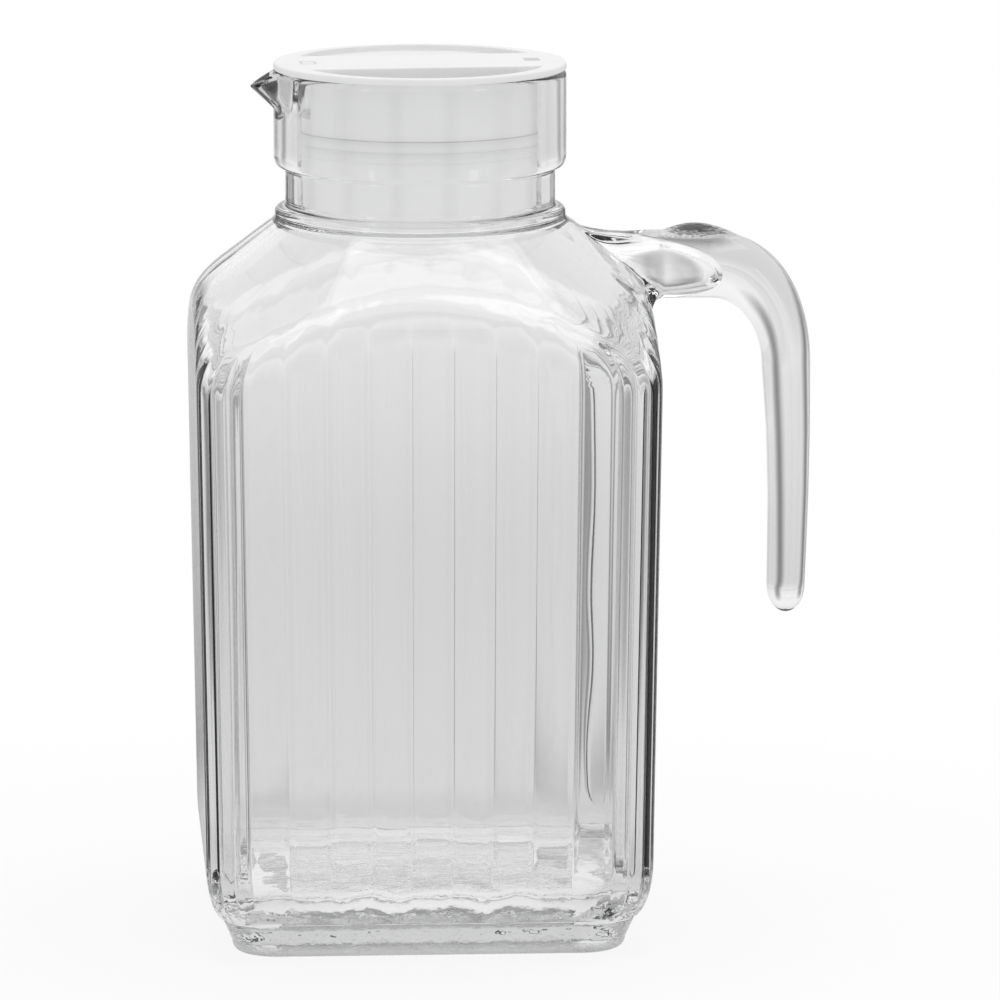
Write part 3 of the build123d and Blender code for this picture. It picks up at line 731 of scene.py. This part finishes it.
def glass_material(s):
    """Clear glass that greys with depth: upright waves, mottled floor, frosted foot and thumb rest."""
    material, looks, shader = new_material("pitcher_glass")
    place = looks.place()
    x, y, z = looks.split(place)
    drawn = looks.node("Mapping", {"Vector": place, "Scale": WAVE_STRETCH}).outputs["Vector"]
    normal = looks.bump(looks.noise(drawn, *WAVES), *WAVE_BUMP)
    mottle = looks.calc("MULTIPLY", looks.noise(place, *MOTTLES), looks.ramp(z, *MOTTLED_Z))
    normal = looks.bump(mottle, *MOTTLE_BUMP, normal)
    foot = looks.ramp(z, *FOOT_FROST_Z)
    rest = looks.calc("MULTIPLY", looks.ramp(z, *REST_FROST_Z), looks.ramp(x, *REST_FROST_X))
    rest = looks.calc("MULTIPLY", rest, looks.ramp(looks.calc("ABSOLUTE", y), *REST_FROST_Y))
    rough = looks.calc("MAXIMUM", looks.calc("MULTIPLY", foot, FOOT_ROUGHNESS),
                       looks.calc("MULTIPLY", rest, REST_ROUGHNESS))
    frosted = looks.calc("MAXIMUM", foot, rest)
    stipple = looks.calc("MULTIPLY", looks.dots(place, STIPPLE), frosted)
    looks.set(shader, {"Base Color": (*s.glass_tint, 1), "Transmission Weight": 1.0, "IOR": GLASS_IOR,
                       "Roughness": rough, "Normal": looks.bump(stipple, *STIPPLE_BUMP, normal)})
    depth = looks.node("VolumeAbsorption", {"Color": (*s.depth_tint, 1), "Density": s.depth_density})
    looks.set(looks.nodes["Material Output"], {"Volume": depth.outputs["Volume"]})
    return material


def plastic_material(name, base, roughness, grain):
    """Moulded plastic: fine grain, uneven sheen and a little cloudiness in the colour."""
    material, looks, shader = new_material(name)
    place = looks.place()
    dark, pale = [CLOUD_DARK * c for c in base], [min(CLOUD_PALE * c, 1) for c in base]
    white = looks.blend(looks.noise(place, *CLOUDS), (*dark, 1), (*pale, 1))
    sheen = looks.ramp(looks.noise(place, *SHEEN), *SHEEN_RANGE, roughness - SHEEN_SPREAD,
                       roughness + SHEEN_SPREAD)
    normal = looks.bump(looks.noise(place, grain, GRAIN_DETAIL), *GRAIN_BUMP)
    looks.set(shader, {"Base Color": white, "IOR": PLASTIC_IOR, "Roughness": sheen, "Normal": normal})
    return material, looks, shader, white


def lid_material(base, turn):
    """White plastic with two darker marks on the bar: an open frame on one end, a filled block opposite."""
    material, looks, shader, white = plastic_material("lid_white", base, *LID_FINISH)
    turned = looks.node("Mapping", {"Vector": looks.place(), "Rotation": (0, 0, -turn)})
    x, y, z = looks.split(turned.outputs["Vector"])

    def block(middle, half):
        """One inside a rectangle about (middle, 0), nought outside it."""
        across = looks.calc("ABSOLUTE", looks.calc("SUBTRACT", x, middle))
        along = looks.calc("ABSOLUTE", y)
        inside = [looks.ramp(off, size + soft, size - soft)
                  for off, size, soft in zip((across, along), half, MARK_SOFTNESS)]
        return looks.calc("MULTIPLY", *inside)
    open_mark = looks.calc("SUBTRACT", block(-MARK_X, MARK_HALF), block(-MARK_X, MARK_HOLE_HALF))
    marks = looks.calc("MAXIMUM", open_mark, block(MARK_X, MARK_HALF))
    marks = looks.calc("MULTIPLY", marks, looks.ramp(z, *MARK_Z))
    shade = [MARK_SHADE * c for c in base]
    looks.set(shader, {"Base Color": looks.blend(marks, white, (*shade, 1))})
    return material


def mesh_object(name, verts, quads, triangles, material):
    """Mesh object at the origin from vertices in millimetres, four-sided and three-sided faces."""
    mesh = bpy.data.meshes.new(name)
    loops = np.concatenate([quads.ravel(), triangles.ravel()]).astype(np.int32)
    starts = np.concatenate([np.arange(len(quads)) * 4, quads.size + np.arange(len(triangles)) * 3])
    mesh.vertices.add(len(verts))
    mesh.vertices.foreach_set("co", (verts * 0.001).astype(np.float32).ravel())
    mesh.loops.add(len(loops))
    mesh.loops.foreach_set("vertex_index", loops)
    mesh.polygons.add(len(starts))
    mesh.polygons.foreach_set("loop_start", starts.astype(np.int32))
    mesh.update(calc_edges=True)
    mesh.validate()
    mesh.polygons.foreach_set("use_smooth", np.ones(len(starts), bool))
    mesh.materials.append(material)
    obj = bpy.data.objects.new(name, mesh)
    bpy.context.scene.collection.objects.link(obj)
    return obj


class PITCHER_OT_glass(Operator):
    """Builds the glass jug with its handle as one piece"""
    bl_idname = "pitcher.glass"
    bl_label = "Glass jug"

    def execute(self, context):
        sizes = in_mm(context.scene.pitcher_jug)
        jug = mesh_object("glass_jug", *jug_mesh(sizes), glass_material(sizes))
        jug.visible_diffuse = False  # soft light passes the clear glass and reaches the plug
        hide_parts("glass_body", "glass_handle")
        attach(jug, "jug")
        return {"FINISHED"}


class PITCHER_OT_lid(Operator):
    """Builds the lid's cap and gives its plug and its soft ring their finishes"""
    bl_idname = "pitcher.lid"
    bl_label = "Lid"

    def execute(self, context):
        sizes = in_mm(context.scene.pitcher_lid)
        cap = mesh_object("lid_top", *lid_mesh(sizes), lid_material(sizes.white, sizes.turn))
        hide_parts("lid_cap")
        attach(cap, "lid")
        finishes = {"lid_plug": plastic_material("plug_white", sizes.plug_white, *PLUG_FINISH)[0],
                    "lid_seal": plastic_material("seal_soft", sizes.seal_white, *SEAL_FINISH)[0]}
        for name, material in finishes.items():
            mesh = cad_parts[name].data
            mesh.materials.clear()
            mesh.materials.append(material)
        return {"FINISHED"}


class PITCHER_OT_stage(Operator):
    """Sets the floor, the cards, the lights, the world and the camera"""
    bl_idname = "pitcher.stage"
    bl_label = "Stage"

    def execute(self, context):
        add_floor()
        add_cards()
        for lamp in LAMPS:
            add_lamp(*lamp)
        add_world(context.scene)
        add_camera(context.scene, context.scene.pitcher_stage)
        context.scene.view_settings.view_transform = "Standard"
        return {"FINISHED"}


# The stage, in metres

FLOOR_HALF = 12
FLOOR_WHITE, FLOOR_ROUGHNESS = 0.93, 0.9
FLOOR_NEAR, FLOOR_FAR = 0.06, 0.32
FLOOR_NEAR_SHARE = 0.68
# painted light under the jug and a painted shadow round it, seen only in glass and mirrors
# brightness of the floor as the glass sees it, against half the distance from the axis
PAINTED_FLOOR = [(0.0, 1.0), (0.022, 0.96), (0.034, 0.66), (0.050, 0.60), (0.085, 0.74), (0.25, 0.66),
               (0.40, 0.75), (0.60, 0.85), (1.0, 0.92)]

CARD_INNER, CARD_OUTER, CARD_TOP = 0.09, 1.2, 0.5
CARD_LIFT, CARD_WALL_LOW = 0.0006, 0.03
CARD_FLOOR_RINGS, CARD_WALL_RINGS = 24, 8
CARD_TURN_STEP = 1.5
CARD_DARK, CARD_TONE, CARD_WALL_GREY = 0.72, 0.03, 0.14
SPOKE_STEP, SPOKE_HALF_WIDTH = 45, 11.0
SPOKE_FADE_IN, SPOKE_FADE_UP, WALL_FADE_UP = 0.14, 0.3, 0.45

# name, place, aim, size and power
LAMPS = [("key", (-1.1, -1.1, 0.5), (0, 0, 0.15), (0.22, 0.8), 0.9),
         ("fill", (1.1, -1.1, 0.5), (0, 0, 0.15), (0.22, 0.8), 0.9),
         ("top", (0.1, 0.2, 1.5), (0, 0, 0.1), (1.3, 1.3), 5.6)]
WORLD_SOFT, WORLD_SEEN = 0.78, 1.0


def painted_floor_tone(looks, distance, path):
    """White for the camera and after a soft bounce, otherwise a soft curve through PAINTED_FLOOR."""
    # the curve paints light under the jug and a shadow round it
    tone = looks.node("ValToRGB", {"Fac": looks.calc("MULTIPLY", distance, 0.5)})
    tone.color_ramp.interpolation = "B_SPLINE"
    while len(tone.color_ramp.elements) < len(PAINTED_FLOOR):
        tone.color_ramp.elements.new(0.5)
    for element, (position, level) in zip(tone.color_ramp.elements, PAINTED_FLOOR):
        element.position = position
        element.color = (level, level, level, 1)
    bounced = looks.calc("GREATER_THAN", path.outputs["Diffuse Depth"], 0.5)
    plain = looks.calc("MAXIMUM", path.outputs["Is Camera Ray"], bounced)
    return looks.blend(plain, tone.outputs["Color"], (1, 1, 1, 1))


def add_floor():
    """Pale floor that runs out to white for the camera; in glass and mirrors it has painted shadow and light.
    """
    half = FLOOR_HALF
    mesh = bpy.data.meshes.new("floor")
    corners = [(-half, -half, 0), (half, -half, 0), (half, half, 0), (-half, half, 0)]
    mesh.from_pydata(corners, [], [(0, 1, 2, 3)])
    material, looks, shader = new_material("floor_pale")
    looks.set(shader, {"Base Color": (FLOOR_WHITE, FLOOR_WHITE, FLOOR_WHITE, 1),
                       "Roughness": FLOOR_ROUGHNESS, "Specular IOR Level": 0.0})
    distance = looks.node("VectorMath", {0: looks.place()}, operation="LENGTH").outputs["Value"]
    path = looks.node("LightPath")
    plain = looks.calc("MULTIPLY", path.outputs["Is Camera Ray"],
                       looks.ramp(distance, FLOOR_NEAR, FLOOR_FAR, FLOOR_NEAR_SHARE, 1.0))
    plain = looks.calc("MAXIMUM", plain, path.outputs["Is Glossy Ray"])
    plain = looks.calc("MAXIMUM", plain, path.outputs["Is Transmission Ray"])
    # glass and mirror rays see this emission: painted light under the jug, a painted shadow round it
    white = looks.node("Emission", {"Color": painted_floor_tone(looks, distance, path)})
    looks.surface(plain, shader.outputs["BSDF"], white.outputs["Emission"])
    mesh.materials.append(material)
    obj = bpy.data.objects.new("floor", mesh)
    bpy.context.scene.collection.objects.link(obj)


def card_material():
    """Dark where the mesh's shade is one, clear where it is nought or after a soft bounce."""
    material, looks, shader = new_material("card_grey")
    looks.nodes.remove(shader)
    shade = looks.node("Attribute", attribute_name="shade").outputs["Fac"]
    bounced = looks.calc("GREATER_THAN", looks.node("LightPath").outputs["Diffuse Depth"], 0.5)
    shade = looks.calc("MULTIPLY", shade, looks.calc("SUBTRACT", 1.0, bounced))
    dark = looks.node("Emission", {"Color": (CARD_TONE, CARD_TONE, CARD_TONE, 1)})
    looks.surface(shade, looks.node("BsdfTransparent").outputs["BSDF"], dark.outputs["Emission"])
    return material


def add_cards():
    """Grey cards round the jug, seen only in the glass, that draw its edges dark.

    A ring on the floor turns up into a wall. Its shade is eight spokes, each cos squared across its width,
    that fade in from the jug outwards and out up the wall, and the wall is a paler grey all round."""
    turn = np.radians(np.arange(0, 360, CARD_TURN_STEP))
    radius = np.concatenate([np.geomspace(CARD_INNER, CARD_OUTER, CARD_FLOOR_RINGS),
                             np.full(CARD_WALL_RINGS, CARD_OUTER)])
    height = np.concatenate([np.full(CARD_FLOOR_RINGS, CARD_LIFT),
                             np.linspace(CARD_WALL_LOW, CARD_TOP, CARD_WALL_RINGS)])
    off = np.abs(np.degrees(turn) % SPOKE_STEP - SPOKE_STEP / 2)
    spoke = np.cos(np.pi / 2 * np.clip(off / SPOKE_HALF_WIDTH, 0, 1))**2
    down = CARD_TOP - height
    fade = np.clip((radius - CARD_INNER) / SPOKE_FADE_IN, 0, 1) * np.clip(down / SPOKE_FADE_UP, 0, 1)
    wall = np.where(height < CARD_WALL_LOW, 0.0, CARD_WALL_GREY) * np.clip(down / WALL_FADE_UP, 0, 1)
    shade = np.maximum(CARD_DARK * spoke * fade[:, None], wall[:, None])
    verts = np.stack([radius[:, None] * np.cos(turn), radius[:, None] * np.sin(turn),
                      np.broadcast_to(height[:, None], shade.shape)], -1).reshape(-1, 3)
    quads = ring_quads(np.arange(len(verts)).reshape(shade.shape))
    mesh = bpy.data.meshes.new("cards")
    mesh.from_pydata(verts.tolist(), [], quads.tolist())
    attribute = mesh.attributes.new("shade", "FLOAT", "POINT")
    attribute.data.foreach_set("value", shade.astype(np.float32).ravel())
    mesh.materials.append(card_material())
    obj = bpy.data.objects.new("cards", mesh)
    obj.visible_camera = obj.visible_diffuse = obj.visible_shadow = False
    bpy.context.scene.collection.objects.link(obj)


def add_lamp(name, place, aim, size, power):
    """Rectangular lamp at place that shines at aim."""
    lamp = bpy.data.lights.new(name, "AREA")
    lamp.shape = "RECTANGLE"
    lamp.size, lamp.size_y = size
    lamp.energy = power
    obj = bpy.data.objects.new(name, lamp)
    obj.location = place
    obj.rotation_euler = (Vector(aim) - Vector(place)).to_track_quat("-Z", "Y").to_euler()
    bpy.context.scene.collection.objects.link(obj)


def add_world(scene):
    """Even soft light; camera, mirror and glass rays see plain white."""
    world = bpy.data.worlds.new("studio")
    world.use_nodes = True
    looks = Shading(world.node_tree)
    path = looks.node("LightPath")
    seen = looks.calc("MAXIMUM", path.outputs["Is Camera Ray"], path.outputs["Is Glossy Ray"])
    seen = looks.calc("MAXIMUM", seen, path.outputs["Is Transmission Ray"])
    looks.set(looks.nodes["Background"], {"Color": (1, 1, 1, 1),
                                          "Strength": looks.ramp(seen, 0, 1, WORLD_SOFT, WORLD_SEEN)})
    scene.world = world


def add_camera(scene, settings):
    """Camera on a level circle round the axis, turned towards the aim."""
    data = bpy.data.cameras.new("photo_camera")
    data.lens = settings.lens
    data.sensor_width = 36.0
    data.clip_end = 100.0
    obj = bpy.data.objects.new("photo_camera", data)
    a = settings.azimuth
    place = Vector((settings.distance * math.sin(a), -settings.distance * math.cos(a), settings.height))
    aim = Vector((settings.aim_x * math.cos(a), settings.aim_x * math.sin(a), settings.aim_z))
    obj.location = place
    obj.rotation_euler = (aim - place).to_track_quat("-Z", "Y").to_euler()
    scene.collection.objects.link(obj)
    scene.camera = obj


class PITCHER_PT_panel(Panel):
    """Sidebar panel of the pitcher"""
    bl_idname = "PITCHER_PT_panel"
    bl_label = "Pitcher"
    bl_space_type = "VIEW_3D"
    bl_region_type = "UI"
    bl_category = "Pitcher"

    def draw(self, context):
        layout = self.layout
        for operator in ("pitcher.glass", "pitcher.lid", "pitcher.stage"):
            layout.operator(operator)
        for group in (context.scene.pitcher_jug, context.scene.pitcher_lid, context.scene.pitcher_stage):
            box = layout.box()
            for name in group.__annotations__:
                box.prop(group, name)


CLASSES = (JugSizes, LidSizes, StageSettings, PITCHER_OT_glass, PITCHER_OT_lid, PITCHER_OT_stage,
           PITCHER_PT_panel)


def register():
    for cls in CLASSES:
        bpy.utils.register_class(cls)
    bpy.types.Scene.pitcher_jug = PointerProperty(type=JugSizes)
    bpy.types.Scene.pitcher_lid = PointerProperty(type=LidSizes)
    bpy.types.Scene.pitcher_stage = PointerProperty(type=StageSettings)


def unregister():
    del bpy.types.Scene.pitcher_stage
    del bpy.types.Scene.pitcher_lid
    del bpy.types.Scene.pitcher_jug
    for cls in reversed(CLASSES):
        bpy.utils.unregister_class(cls)


def main():
    register()
    bpy.ops.pitcher.glass()
    bpy.ops.pitcher.lid()
    bpy.ops.pitcher.stage()


if __name__ == "__main__":
    main()
